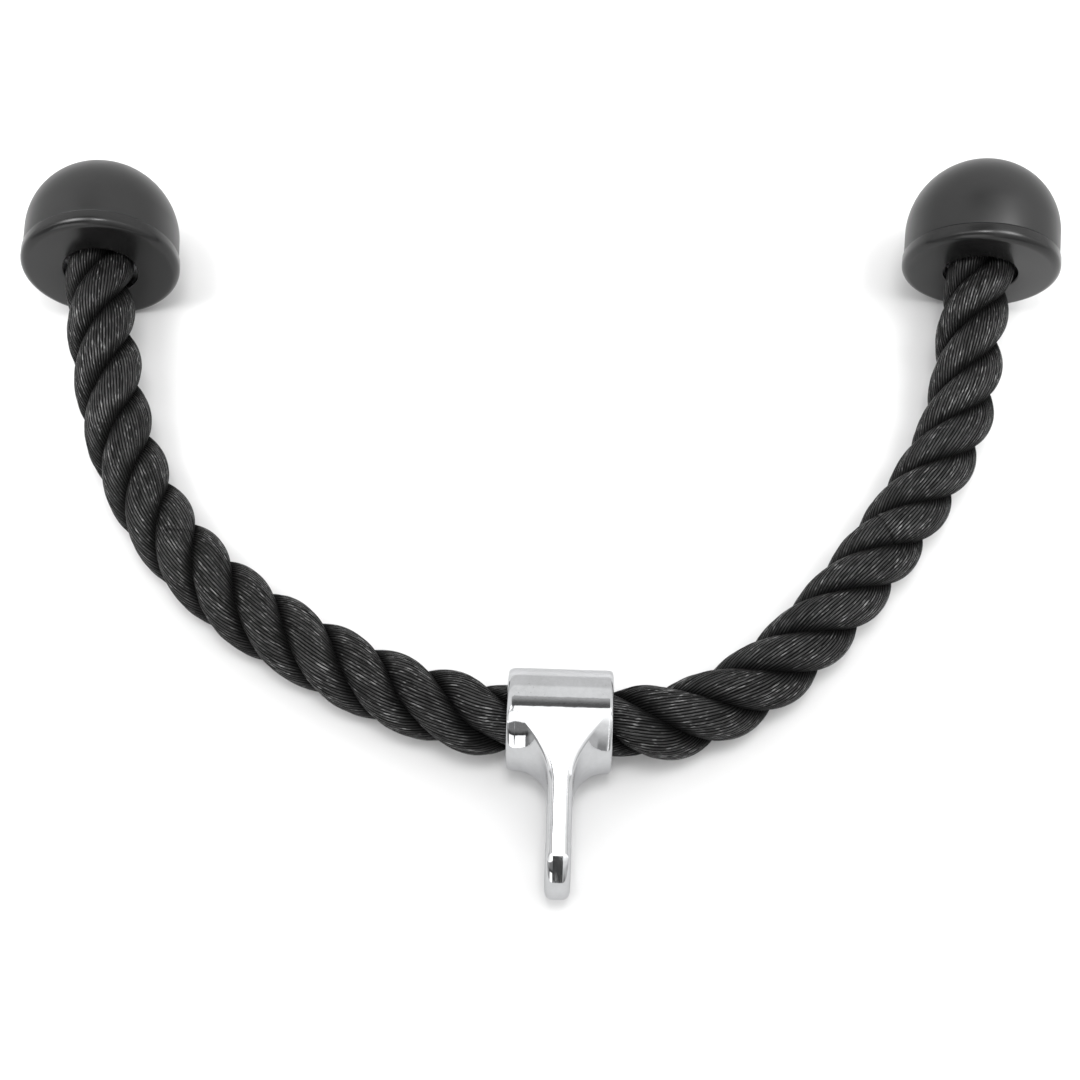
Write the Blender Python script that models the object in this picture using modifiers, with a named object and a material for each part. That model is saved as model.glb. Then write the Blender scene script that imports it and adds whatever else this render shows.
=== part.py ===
"""Triceps rope attachment for a cable machine: a three-strand rope through a chrome sleeve with an eye,
and a moulded stop on each end. Metres, +Z up. It lies on the plane z = 0 with the eye towards -Y, and the
origin is under the middle of its box."""

import math

import bmesh
import bpy
import numpy as np
from mathutils import Matrix, Vector

# Rope
ROPE_RADIUS = 0.0150
LAY_LENGTH = 0.0775
LAY_OFFSET = 0.0018
STRAND_GAP = 0.0007
STRAND_POINTS_PER_TURN = 13
PINCH_LENGTH = 0.014
END_STUB = 0.0006
LINE_STEP = 0.0005

# Route of each arm, from just outside the sleeve's mouth to the face of its end stop
LEFT_ARM = [
    (-0.0213, -0.0984, 0.0203),
    (-0.0341, -0.0944, 0.0190),
    (-0.0471, -0.0898, 0.0170),
    (-0.0611, -0.0837, 0.0155),
    (-0.0811, -0.0737, 0.0150),
    (-0.1017, -0.0616, 0.0150),
    (-0.1237, -0.0467, 0.0150),
    (-0.1441, -0.0285, 0.0150),
    (-0.1626, -0.0062, 0.0151),
    (-0.1765, 0.0175, 0.0168),
    (-0.1856, 0.0395, 0.0204),
    (-0.1922, 0.0645, 0.0260),
    (-0.1968, 0.0855, 0.0304),
    (-0.2005, 0.1152, 0.0349),
]
RIGHT_ARM = [
    (0.0354, -0.1004, 0.0203),
    (0.0479, -0.0996, 0.0186),
    (0.0590, -0.0960, 0.0167),
    (0.0705, -0.0906, 0.0154),
    (0.0904, -0.0777, 0.0150),
    (0.1143, -0.0550, 0.0150),
    (0.1307, -0.0356, 0.0150),
    (0.1470, -0.0147, 0.0152),
    (0.1620, 0.0066, 0.0160),
    (0.1753, 0.0283, 0.0178),
    (0.1845, 0.0495, 0.0206),
    (0.1902, 0.0718, 0.0244),
    (0.1941, 0.0918, 0.0285),
    (0.1995, 0.1147, 0.0337),
]

# End stops: the way each one's axis points, out of its face and down the rope
LEFT_STOP_YAW = math.radians(4.3)
LEFT_STOP_PITCH = math.radians(3.1)
RIGHT_STOP_YAW = math.radians(-7.5)
RIGHT_STOP_PITCH = math.radians(13.2)

# Bends: how far along the rope from the sleeve's mouth each stretch ends
SLEEVE_BEND_LENGTH = 0.016
MIDDLE_BEND_DISTANCE = 0.162
MIDDLE_BEND_LENGTH = 0.020

# Connector
SLEEVE_LENGTH = 0.0410
SLEEVE_WALL = 0.0068
SLEEVE_EDGE_RADIUS = 0.0015
MOUTH_RADIUS = 0.0025
SLEEVE_GRIP_SHARE = 0.88
EYE_DISTANCE = 0.0546
EYE_OUTER_RADIUS = 0.0155
EYE_HOLE_RADIUS = 0.0100
EYE_SIDE_OFFSET = 0.0009
PLATE_THICKNESS = 0.0096
PLATE_EDGE_RADIUS = 0.0018
NECK_FILLET_RADIUS = 0.0133

# End stop's base plate
STOP_RADIUS = 0.03505
PLATE_DEPTH = 0.0070
RIM_EDGE_RADIUS = 0.0022
HOLE_CLEARANCE = 0.0013
HOLE_EDGE_RADIUS = 0.0010
SPIGOT_WALL = 0.0024
SPIGOT_LENGTH = 0.0065
BEAD_HEIGHT = 0.0008
BEAD_LENGTH = 0.0030

# End stop's dome
DOME_STEP = 0.0006
DOME_WALL = 0.0028
SKIRT_LENGTH = 0.0128
SEAT_WALL = 0.0028

# Rope end: washer and crimped ferrule
WASHER_CLEARANCE = 0.0006
WASHER_REACH_SHARE = 0.7
WASHER_THICKNESS = 0.0020
FERRULE_GRIP_SHARE = 0.94
FERRULE_LENGTH = 0.0220
FERRULE_WALL = 0.0034
FERRULE_EDGE = 0.0006
ROPE_END_PROUD = 0.0025

# Gap between pieces that touch
FIT_GAP = 0.0003
CUT_OVERRUN = 0.0100
PLATE_SINK = 0.0003
NECK_SINK = 0.00005
WELD_DISTANCE = 0.00001

# Facets
STOP_STEPS = 36
STEEL_STEPS = 24
SLEEVE_STEPS = 40
ARC_STEPS = 3
DOME_RINGS = 7
FILLET_STEPS = 6
NOSE_STEPS = 18
EYE_STEPS = 28

# Worked out from the sizes above
BORE_RADIUS = ROPE_RADIUS * SLEEVE_GRIP_SHARE + FIT_GAP
SLEEVE_RADIUS = BORE_RADIUS + SLEEVE_WALL
ROOT_RADIUS = BORE_RADIUS + SLEEVE_WALL / 2
EYE_TILT = math.asin((SLEEVE_RADIUS - EYE_OUTER_RADIUS) / EYE_DISTANCE)
HOLE_RADIUS = ROPE_RADIUS + HOLE_CLEARANCE
DOME_RADIUS = STOP_RADIUS - DOME_STEP
DOME_INNER_RADIUS = DOME_RADIUS - DOME_WALL
SPIGOT_RADIUS = DOME_INNER_RADIUS - FIT_GAP
SPIGOT_INNER_RADIUS = SPIGOT_RADIUS - SPIGOT_WALL
FERRULE_BORE_RADIUS = ROPE_RADIUS * FERRULE_GRIP_SHARE + FIT_GAP
FERRULE_RADIUS = FERRULE_BORE_RADIUS + FERRULE_WALL
WASHER_TOP = -FIT_GAP
WASHER_BOTTOM = WASHER_TOP - WASHER_THICKNESS
FERRULE_TOP = WASHER_BOTTOM - FIT_GAP
FERRULE_BOTTOM = FERRULE_TOP - FERRULE_LENGTH
ROPE_END_DEPTH = PLATE_DEPTH - FERRULE_BOTTOM + ROPE_END_PROUD


def clear_scene():
    for thing in list(bpy.data.objects):
        bpy.data.objects.remove(thing, do_unlink=True)


def new_collection(name):
    group = bpy.data.collections.new(name)
    bpy.context.scene.collection.children.link(group)
    return group


def new_material(name, colour, roughness, metallic):
    made = bpy.data.materials.new(name)
    made.use_nodes = True
    shader = made.node_tree.nodes["Principled BSDF"]
    shader.inputs["Base Color"].default_value = (*colour, 1.0)
    shader.inputs["Roughness"].default_value = roughness
    shader.inputs["Metallic"].default_value = metallic
    return made


def add_object(name, data, group, material=None, parent=None):
    """A new object in a collection. Under a parent it keeps the parent's frame as its own."""
    made = bpy.data.objects.new(name, data)
    group.objects.link(made)
    made.parent = parent
    if material:
        data.materials.append(material)
    return made


def add_empty(name, place, group):
    made = add_object(name, None, group)
    made.matrix_world = place
    return made


def frame_at(point, way):
    """A frame at a point whose local Z runs along a way and whose local X lies level."""
    z = Vector(way).normalized()
    x = Vector((0, 0, 1)).cross(z).normalized()
    y = z.cross(x)
    return Matrix.Translation(Vector(point)) @ Matrix((x, y, z)).transposed().to_4x4()


# Rope line


def clamped_curve(points, first_way, last_way):
    """A smooth cubic curve through points, by chord length, leaving and arriving along two ways.

    Its slopes solve the usual condition that the bending matches on both sides of each point.
    Returns points LINE_STEP apart."""
    points = np.array(points)
    chord = np.linalg.norm(np.diff(points, axis=0), axis=1)
    rise = np.diff(points, axis=0) / chord[:, None]
    count = len(points)
    matrix = np.eye(count)
    right = np.zeros((count, 3))
    right[0] = first_way
    right[-1] = last_way
    for i in range(1, count - 1):
        before, after = chord[i - 1], chord[i]
        matrix[i, i - 1 : i + 2] = after, 2 * (before + after), before
        right[i] = 3 * (after * rise[i - 1] + before * rise[i])
    slope = np.linalg.solve(matrix, right)
    knots = np.concatenate([[0], np.cumsum(chord)])
    where = np.linspace(0, knots[-1], int(knots[-1] / LINE_STEP) + 1)
    i = np.clip(np.searchsorted(knots, where, side="right") - 1, 0, count - 2)
    t = ((where - knots[i]) / chord[i])[:, None]
    span = chord[i][:, None]
    return (
        (2 * t**3 - 3 * t**2 + 1) * points[i]
        + (t**3 - 2 * t**2 + t) * span * slope[i]
        + (3 * t**2 - 2 * t**3) * points[i + 1]
        + (t**3 - t**2) * span * slope[i + 1]
    )


def stop_way(yaw, pitch):
    """The way out of an end stop's face: -Y, turned by yaw about Z and tipped down by pitch."""
    level = math.cos(pitch)
    return np.array(
        [math.sin(yaw) * level, -math.cos(yaw) * level, -math.sin(pitch)]
    )


def straight(start, end):
    """Points LINE_STEP apart on a straight line, without its end."""
    length = np.linalg.norm(end - start)
    share = np.arange(0, 1, LINE_STEP / length)[:, None]
    return start + (end - start) * share


class RopeLine:
    """The rope's centre line from its left end to its right end, by length along it."""

    def __init__(self):
        left, right = np.array(LEFT_ARM), np.array(RIGHT_ARM)
        across = (right[0] - left[0]) / np.linalg.norm(right[0] - left[0])
        self.left_way = stop_way(LEFT_STOP_YAW, LEFT_STOP_PITCH)
        self.right_way = stop_way(RIGHT_STOP_YAW, RIGHT_STOP_PITCH)
        left_end = left[-1] - self.left_way * ROPE_END_DEPTH
        right_end = right[-1] - self.right_way * ROPE_END_DEPTH
        left_curve = clamped_curve(left[::-1], self.left_way, across)
        right_curve = clamped_curve(right, across, -self.right_way)
        pieces = [
            straight(left_end, left[-1]),
            left_curve[:-1],
            straight(left[0], right[0]),
            right_curve,
            straight(right[-1], right_end)[1:],
            [right_end],
        ]
        self.points = np.concatenate(pieces)
        steps = np.linalg.norm(np.diff(self.points, axis=0), axis=1)
        self.along = np.concatenate([[0], np.cumsum(steps)])
        self.length = self.along[-1]
        self.centre = (left[0] + right[0]) / 2
        self.across = across
        first = sum(len(piece) for piece in pieces[:2])
        self.middle = self.along[first] + np.linalg.norm(self.centre - left[0])
        self.left_mouth = self.middle - SLEEVE_LENGTH / 2
        self.right_mouth = self.middle + SLEEVE_LENGTH / 2

    def at(self, where):
        """Points, tangents, level side ways and upward ways at lengths along the line."""
        where = np.atleast_1d(where)
        inside = np.clip(where, LINE_STEP, self.length - LINE_STEP)
        point = self.read(where)
        tangent = self.read(inside + LINE_STEP) - self.read(inside - LINE_STEP)
        tangent /= np.linalg.norm(tangent, axis=1)[:, None]
        side = np.cross([0, 0, 1], tangent)
        side /= np.linalg.norm(side, axis=1)[:, None]
        return point, tangent, side, np.cross(tangent, side)

    def read(self, where):
        columns = [np.interp(where, self.along, column) for column in self.points.T]
        return np.stack(columns, axis=1)

    def thickness(self, where):
        """The rope's girth as a share of its free girth: less in the sleeve and in the ferrules."""
        sleeve = np.abs(where - self.middle) - SLEEVE_LENGTH / 2
        end = np.minimum(where, self.length - where)
        ferrule = end - (ROPE_END_DEPTH - PLATE_DEPTH)
        return 1 - (
            (1 - SLEEVE_GRIP_SHARE) * eased(sleeve / PINCH_LENGTH)
            + (1 - FERRULE_GRIP_SHARE) * eased(ferrule / PLATE_DEPTH)
        )


def eased(share):
    """1 where share is under 0, 0 where it is over 1, and smooth between."""
    share = np.clip(share, 0, 1)
    return 1 - share * share * (3 - 2 * share)


def strand_sizes():
    """The radius of one strand, and how far its centre lies from the rope's.

    Two neighbours come closest a little along the rope, so the least distance between their centre
    lines, for a centre circle of radius 1, is found first."""
    pitch = LAY_LENGTH / (2 * math.pi * ROPE_RADIUS / 2)
    turn = np.linspace(0, math.pi / 2, 200)
    apart = 2 - 2 * np.cos(2 * math.pi / 3 - turn) + (pitch * turn) ** 2
    least = math.sqrt(apart.min())
    centre = (ROPE_RADIUS + STRAND_GAP / 2) / (1 + least / 2)
    return ROPE_RADIUS - centre, centre


def add_strand(name, line, start, end, number, group, material, parent):
    """One strand's tube between two lengths along the rope, wound right-handed round its line.

    A point close to each end squares the end face to the strand, so that it lies along its neighbour's."""
    radius, centre = strand_sizes()
    count = max(3, round((end - start) / LAY_LENGTH * STRAND_POINTS_PER_TURN) + 1)
    where = np.linspace(start, end, count)
    where = np.insert(where, [1, count - 1], [start + END_STUB, end - END_STUB])
    point, _, side, up = line.at(where)
    girth = line.thickness(where)
    wound = where - line.middle - LAY_OFFSET
    turn = 2 * math.pi * (wound / LAY_LENGTH + number / 3)
    reach = (centre * girth)[:, None]
    place = point + reach * (np.cos(turn)[:, None] * side + np.sin(turn)[:, None] * up)
    data = bpy.data.curves.new(name, "CURVE")
    data.dimensions = "3D"
    data.bevel_depth = radius
    data.bevel_resolution = 2
    data.use_fill_caps = True
    spline = data.splines.new("POLY")
    spline.points.add(len(where) - 1)
    inverse = parent.matrix_world.inverted()
    for knot, spot, share in zip(spline.points, place, girth):
        knot.co = (*(inverse @ Vector(spot)), 1)
        knot.radius = share
    return add_object(name, data, group, material, parent)


# Turned pieces


def arc(centre, radius, first, last, steps=ARC_STEPS):
    """Points (distance from axis, height) on an arc, from one angle to another in degrees."""
    angles = [math.radians(first + (last - first) * i / steps) for i in range(steps + 1)]
    return [
        (centre[0] + radius * math.cos(a), centre[1] + radius * math.sin(a))
        for a in angles
    ]


def add_turned(name, outline, steps, group, material=None, parent=None):
    """A solid of revolution about local Z from a closed outline, down its outer side and up its bore.

    An edge of the outline that lies on the axis is left out, because it turns into nothing."""
    data = bpy.data.meshes.new(name)
    following = list(range(1, len(outline))) + [0]
    edges = [
        (i, after)
        for i, after in enumerate(following)
        if max(outline[i][0], outline[after][0]) > WELD_DISTANCE
    ]
    data.from_pydata([(r, 0, z) for r, z in outline], edges, [])
    made = add_object(name, data, group, material, parent)
    screw = made.modifiers.new("Turn", "SCREW")
    screw.steps = steps
    screw.render_steps = steps
    screw.use_merge_vertices = True
    screw.merge_threshold = WELD_DISTANCE
    screw.use_smooth_shade = True
    return made


def base_plate_outline():
    """The face with its rounded rim, the parting face, the spigot with its snap bead, and the bore."""
    bead_middle = -SPIGOT_LENGTH + BEAD_LENGTH
    inner = SPIGOT_INNER_RADIUS
    return [
        *arc(
            (STOP_RADIUS - RIM_EDGE_RADIUS, PLATE_DEPTH - RIM_EDGE_RADIUS),
            RIM_EDGE_RADIUS,
            90,
            0,
        ),
        (STOP_RADIUS, 0),
        (SPIGOT_RADIUS, 0),
        (SPIGOT_RADIUS, bead_middle + BEAD_LENGTH / 2),
        (SPIGOT_RADIUS + BEAD_HEIGHT, bead_middle),
        (SPIGOT_RADIUS, bead_middle - BEAD_LENGTH / 2),
        (SPIGOT_RADIUS, -SPIGOT_LENGTH),
        (inner, -SPIGOT_LENGTH),
        (inner, 0),
        (HOLE_RADIUS, 0),
        *arc(
            (HOLE_RADIUS + HOLE_EDGE_RADIUS, PLATE_DEPTH - HOLE_EDGE_RADIUS),
            HOLE_EDGE_RADIUS,
            180,
            90,
        ),
    ]


def dome_outline():
    """Down the skirt and round the dome to its pole, then back up inside past the ferrule's seat."""
    centre = (0, -SKIRT_LENGTH)
    seat_inner = FERRULE_RADIUS - SEAT_WALL
    seat_outer = FERRULE_RADIUS
    seat_top = FERRULE_BOTTOM - FIT_GAP
    seat_inner_angle = -math.degrees(math.acos(seat_inner / DOME_INNER_RADIUS))
    seat_outer_angle = -math.degrees(math.acos(seat_outer / DOME_INNER_RADIUS))
    bead_middle = -SPIGOT_LENGTH + BEAD_LENGTH
    half = BEAD_LENGTH / 2 + FIT_GAP
    return [
        (DOME_RADIUS, -FIT_GAP),
        *arc(centre, DOME_RADIUS, 0, -90, DOME_RINGS),
        *arc(centre, DOME_INNER_RADIUS, -90, seat_inner_angle),
        (seat_inner, seat_top),
        (seat_outer, seat_top),
        *arc(centre, DOME_INNER_RADIUS, seat_outer_angle, 0),
        (DOME_INNER_RADIUS, bead_middle - half),
        (DOME_INNER_RADIUS + BEAD_HEIGHT, bead_middle),
        (DOME_INNER_RADIUS, bead_middle + half),
        (DOME_INNER_RADIUS, -FIT_GAP),
    ]


def washer_outline():
    bore = ROPE_RADIUS + WASHER_CLEARANCE
    rim = FERRULE_RADIUS + WASHER_REACH_SHARE * (SPIGOT_INNER_RADIUS - FERRULE_RADIUS)
    return [
        (rim, WASHER_TOP),
        (rim, WASHER_BOTTOM),
        (bore, WASHER_BOTTOM),
        (bore, WASHER_TOP),
    ]


def ferrule_outline():
    edge = FERRULE_EDGE
    return [
        (FERRULE_RADIUS - edge, FERRULE_TOP),
        (FERRULE_RADIUS, FERRULE_TOP - edge),
        (FERRULE_RADIUS, FERRULE_BOTTOM + edge),
        (FERRULE_RADIUS - edge, FERRULE_BOTTOM),
        (FERRULE_BORE_RADIUS, FERRULE_BOTTOM),
        (FERRULE_BORE_RADIUS, FERRULE_TOP),
    ]


def add_stop(side, face, way, group, looks):
    """One end stop. Its local Z is its axis, up out of its face, and z = 0 is the parting face."""
    parting = face - way * PLATE_DEPTH
    axis = add_empty(f"{side}_stop_axis", frame_at(parting, way), group)
    pieces = [
        ("base_plate", base_plate_outline(), STOP_STEPS, "stop plate"),
        ("dome", dome_outline(), STOP_STEPS, "stop dome"),
        ("thrust_washer", washer_outline(), STEEL_STEPS, "zinc steel"),
        ("ferrule", ferrule_outline(), STEEL_STEPS, "zinc steel"),
    ]
    for name, outline, steps, look in pieces:
        add_turned(f"{side}_{name}", outline, steps, group, looks[look], axis)


# Connector


def sleeve_outline():
    """The sleeve's section without its bore: a rod with rounded edges."""
    half = SLEEVE_LENGTH / 2
    edge = SLEEVE_EDGE_RADIUS
    return [
        (0, half),
        *arc((SLEEVE_RADIUS - edge, half - edge), edge, 90, 0),
        *arc((SLEEVE_RADIUS - edge, edge - half), edge, 0, -90),
        (0, -half),
    ]


def spool_outline(radius, half, flare):
    """A cutter for a through hole: a rod that flares at both faces, which rounds the hole's edges."""
    return [
        (0, half + CUT_OVERRUN),
        (radius + flare, half + CUT_OVERRUN),
        *arc((radius + flare, half - flare), flare, 90, 180),
        *arc((radius + flare, flare - half), flare, 180, 270),
        (radius + flare, -half - CUT_OVERRUN),
        (0, -half - CUT_OVERRUN),
    ]


def neck_outline():
    """A hollow-sided disc round the sleeve's axis: the fillets from the sleeve to both plate faces."""
    half = PLATE_THICKNESS / 2 - NECK_SINK
    fillet = NECK_FILLET_RADIUS
    reach = SLEEVE_RADIUS - NECK_SINK + fillet
    top = arc((reach, half + fillet), fillet, 180, 270, FILLET_STEPS)
    bottom = arc((reach, -half - fillet), fillet, 90, 180, FILLET_STEPS)
    return [(ROOT_RADIUS, half + fillet), *top, *bottom, (ROOT_RADIUS, -half - fillet)]


def convert_curve(name, data, group, place):
    """A mesh object with the shape of a curve, its loose caps welded on."""
    curve = add_object(name + "_curve", data, group)
    curve.matrix_world = place
    bpy.context.view_layer.update()
    graph = bpy.context.evaluated_depsgraph_get()
    mesh = bpy.data.meshes.new_from_object(curve.evaluated_get(graph))
    mesh.name = name
    work = bmesh.new()
    work.from_mesh(mesh)
    bmesh.ops.remove_doubles(work, verts=work.verts, dist=WELD_DISTANCE)
    bmesh.ops.recalc_face_normals(work, faces=work.faces)
    work.to_mesh(mesh)
    work.free()
    made = add_object(name, mesh, group)
    made.matrix_world = curve.matrix_world
    bpy.data.objects.remove(curve, do_unlink=True)
    return made


def eye_outline(inset=0):
    """The eye plate's outline in local XY, inset all round: straight sides out of the sleeve to a round nose.

    The sides touch the nose's circle and one just under the sleeve's skin."""
    skin = SLEEVE_RADIUS - PLATE_SINK - inset
    nose = EYE_OUTER_RADIUS - inset
    lean = math.degrees(math.asin((skin - nose) / EYE_DISTANCE))
    top, bottom = arc((0, 0), skin, 90 + lean, 270 - lean, 1)
    tip = arc((-EYE_DISTANCE, 0), nose, 90 + lean, 270 - lean, NOSE_STEPS)
    return [top, *tip, bottom]


def flat_curve(name, outline, thickness):
    """A flat outline as a filled curve, as thick as given, half of it on each side of z = 0."""
    data = bpy.data.curves.new(name, "CURVE")
    data.dimensions = "2D"
    data.fill_mode = "BOTH"
    data.extrude = thickness / 2
    spline = data.splines.new("POLY")
    spline.points.add(len(outline) - 1)
    for knot, (x, y) in zip(spline.points, outline):
        knot.co = (x, y, 0, 1)
    spline.use_cyclic_u = True
    return data


def as_helper(made):
    made.hide_render = True
    made.display_type = "WIRE"
    return made


def combine(target, other, operation):
    modifier = target.modifiers.new(f"{operation.title()} {other.name}", "BOOLEAN")
    modifier.operation = operation
    modifier.object = other
    modifier.solver = "EXACT"


def add_connector(line, group, helpers, looks):
    """The sleeve and its eye, one casting. Its local Z is the sleeve's axis, its local -X points to the eye.

    The eye plate tips down round the sleeve's axis until its nose lies on the same plane as the sleeve."""
    place = frame_at(line.centre, line.across)
    middle = (
        place
        @ Matrix.Rotation(EYE_TILT, 4, "Z")
        @ Matrix.Translation((0, 0, EYE_SIDE_OFFSET))
    )

    curve = flat_curve("eye_plate", eye_outline(), PLATE_THICKNESS)
    plate = as_helper(convert_curve("eye_plate", curve, helpers, middle))
    bevel = plate.modifiers.new("Rounded edges", "BEVEL")
    bevel.width = PLATE_EDGE_RADIUS
    bevel.segments = 2
    bevel.limit_method = "ANGLE"
    bevel.angle_limit = math.radians(60)

    curve = flat_curve("neck_trim", eye_outline(NECK_SINK), 2 * SLEEVE_LENGTH)
    trim = as_helper(convert_curve("neck_trim", curve, helpers, middle))

    neck = add_turned("neck", neck_outline(), SLEEVE_STEPS, helpers)
    neck.matrix_world = middle @ Matrix.Rotation(math.pi / SLEEVE_STEPS, 4, "Z")
    as_helper(neck)
    combine(neck, trim, "INTERSECT")

    eye = add_turned(
        "eye_cutter",
        spool_outline(EYE_HOLE_RADIUS, PLATE_THICKNESS / 2, PLATE_EDGE_RADIUS),
        EYE_STEPS,
        helpers,
    )
    eye.matrix_world = middle @ Matrix.Translation((-EYE_DISTANCE, 0, 0))
    as_helper(eye)

    bore = add_turned(
        "bore_cutter",
        spool_outline(BORE_RADIUS, SLEEVE_LENGTH / 2, MOUTH_RADIUS),
        SLEEVE_STEPS,
        helpers,
    )
    bore.matrix_world = place
    as_helper(bore)

    connector = add_turned(
        "connector", sleeve_outline(), SLEEVE_STEPS, group, looks["chrome"]
    )
    connector.matrix_world = place
    combine(connector, plate, "UNION")
    combine(connector, neck, "UNION")
    combine(connector, eye, "DIFFERENCE")
    combine(connector, bore, "DIFFERENCE")


# Rope


def add_rope(line, group, looks):
    """Three strands, each cut into the stretches that stay straight and those that bend."""
    half_gap = FIT_GAP / 2
    upright = Matrix.Identity(4)

    def pivot(name, where):
        point = line.at(where)[0][0]
        return add_empty(name, Matrix.Translation(Vector(point)) @ upright, group)

    centre = add_empty("sleeve_centre", Matrix.Translation(Vector(line.centre)), group)
    ends = (line.left_mouth - SLEEVE_BEND_LENGTH, line.right_mouth + SLEEVE_BEND_LENGTH)
    stretches = [("centre", centre, *ends)]
    for side, mouth, tip, sign in (
        ("left", line.left_mouth, 0, -1),
        ("right", line.right_mouth, line.length, 1),
    ):
        sleeve_pivot = pivot(f"{side}_sleeve_bend", mouth)
        bend_start = mouth + sign * MIDDLE_BEND_DISTANCE
        bend_end = bend_start + sign * MIDDLE_BEND_LENGTH
        middle_pivot = pivot(f"{side}_middle_bend", (bend_start + bend_end) / 2)
        arm_start = mouth + sign * SLEEVE_BEND_LENGTH
        stretches += [
            (f"{side}_inner_arm", sleeve_pivot, arm_start, bend_start),
            (f"{side}_arm_bend", sleeve_pivot, bend_start, bend_end),
            (f"{side}_outer_arm", middle_pivot, bend_end, tip),
        ]
    bpy.context.view_layer.update()
    for name, parent, first, last in stretches:
        start, end = sorted((first, last))
        start += half_gap * (start > 0)
        end -= half_gap * (end < line.length)
        for number in range(3):
            add_strand(
                f"rope_strand_{number + 1}_{name}",
                line,
                start,
                end,
                number,
                group,
                looks["rope"],
                parent,
            )


def main():
    clear_scene()
    group = new_collection("Triceps_rope_attachment")
    helpers = new_collection("Cutters")
    helpers.hide_render = True
    looks = {
        "chrome": new_material("chrome", (0.80, 0.80, 0.81), 0.06, 1.0),
        "rope": new_material("rope", (0.030, 0.030, 0.032), 0.62, 0.0),
        "stop dome": new_material("stop dome", (0.065, 0.065, 0.067), 0.42, 0.0),
        "stop plate": new_material("stop plate", (0.050, 0.050, 0.052), 0.38, 0.0),
        "zinc steel": new_material("zinc steel", (0.62, 0.63, 0.65), 0.35, 1.0),
    }
    line = RopeLine()
    add_connector(line, group, helpers, looks)
    add_rope(line, group, looks)
    add_stop("left", np.array(LEFT_ARM[-1]), line.left_way, group, looks)
    add_stop("right", np.array(RIGHT_ARM[-1]), line.right_way, group, looks)


main()
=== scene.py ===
"""The looks of the triceps rope attachment: a black three-strand rope, a chrome sleeve with its
eye, and a satin black stop on each end. Metres, in the frame of its solids: +Z up, the eye
towards -Y."""

import math

import bpy
import numpy as np
from mathutils import Matrix, Vector


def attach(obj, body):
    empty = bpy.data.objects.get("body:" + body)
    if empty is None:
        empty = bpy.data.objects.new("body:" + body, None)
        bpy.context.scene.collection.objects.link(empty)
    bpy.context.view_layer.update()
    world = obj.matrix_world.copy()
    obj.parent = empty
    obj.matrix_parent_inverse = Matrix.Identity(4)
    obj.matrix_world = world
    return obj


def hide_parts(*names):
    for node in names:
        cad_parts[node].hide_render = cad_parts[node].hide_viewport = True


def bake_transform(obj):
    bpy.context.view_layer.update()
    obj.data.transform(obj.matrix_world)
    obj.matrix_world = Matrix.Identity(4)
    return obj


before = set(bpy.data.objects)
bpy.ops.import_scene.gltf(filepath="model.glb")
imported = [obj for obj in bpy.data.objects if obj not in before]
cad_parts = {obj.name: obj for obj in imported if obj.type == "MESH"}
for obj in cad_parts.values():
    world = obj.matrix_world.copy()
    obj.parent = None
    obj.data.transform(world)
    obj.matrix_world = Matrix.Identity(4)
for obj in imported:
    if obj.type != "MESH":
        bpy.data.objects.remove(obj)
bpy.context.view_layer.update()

# Rope line, as in the solids
LAY_LENGTH = 0.0775
LAY_OFFSET = 0.0018
PINCH_LENGTH = 0.014
LINE_STEP = 0.0005
SLEEVE_LENGTH = 0.0410
SLEEVE_GRIP_SHARE = 0.88
FERRULE_GRIP_SHARE = 0.94
PLATE_DEPTH = 0.0070
ROPE_END_DEPTH = 0.0341
LEFT_ARM = [
    (-0.0213, -0.0984, 0.0203),
    (-0.0341, -0.0944, 0.0190),
    (-0.0471, -0.0898, 0.0170),
    (-0.0611, -0.0837, 0.0155),
    (-0.0811, -0.0737, 0.0150),
    (-0.1017, -0.0616, 0.0150),
    (-0.1237, -0.0467, 0.0150),
    (-0.1441, -0.0285, 0.0150),
    (-0.1626, -0.0062, 0.0151),
    (-0.1765, 0.0175, 0.0168),
    (-0.1856, 0.0395, 0.0204),
    (-0.1922, 0.0645, 0.0260),
    (-0.1968, 0.0855, 0.0304),
    (-0.2005, 0.1152, 0.0349),
]
RIGHT_ARM = [
    (0.0354, -0.1004, 0.0203),
    (0.0479, -0.0996, 0.0186),
    (0.0590, -0.0960, 0.0167),
    (0.0705, -0.0906, 0.0154),
    (0.0904, -0.0777, 0.0150),
    (0.1143, -0.0550, 0.0150),
    (0.1307, -0.0356, 0.0150),
    (0.1470, -0.0147, 0.0152),
    (0.1620, 0.0066, 0.0160),
    (0.1753, 0.0283, 0.0178),
    (0.1845, 0.0495, 0.0206),
    (0.1902, 0.0718, 0.0244),
    (0.1941, 0.0918, 0.0285),
    (0.1995, 0.1147, 0.0337),
]
LEFT_STOP_YAW = math.radians(4.3)
LEFT_STOP_PITCH = math.radians(3.1)
RIGHT_STOP_YAW = math.radians(-7.5)
RIGHT_STOP_PITCH = math.radians(13.2)

# Strands and their yarns
STRAND_REACH = 0.0081
STRAND_HEIGHT = 0.0066
STRAND_WIDTH = 0.0076
YARNS = 34
COLUMNS_PER_YARN = 4
YARN_TURNS = -1.92
YARN_RIDGE = 0.00042
YARN_SWELL = 0.00012
SWELL_LENGTHS = (0.020, 0.045)
RING_STEP = 0.0012
MIDDLE_BEND_DISTANCE = 0.162
MIDDLE_BEND_LENGTH = 0.020
BEND_REACH = 0.100
MIDDLE_BEND_REACH = 0.080
ROUTE_POINTS = 60

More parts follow.
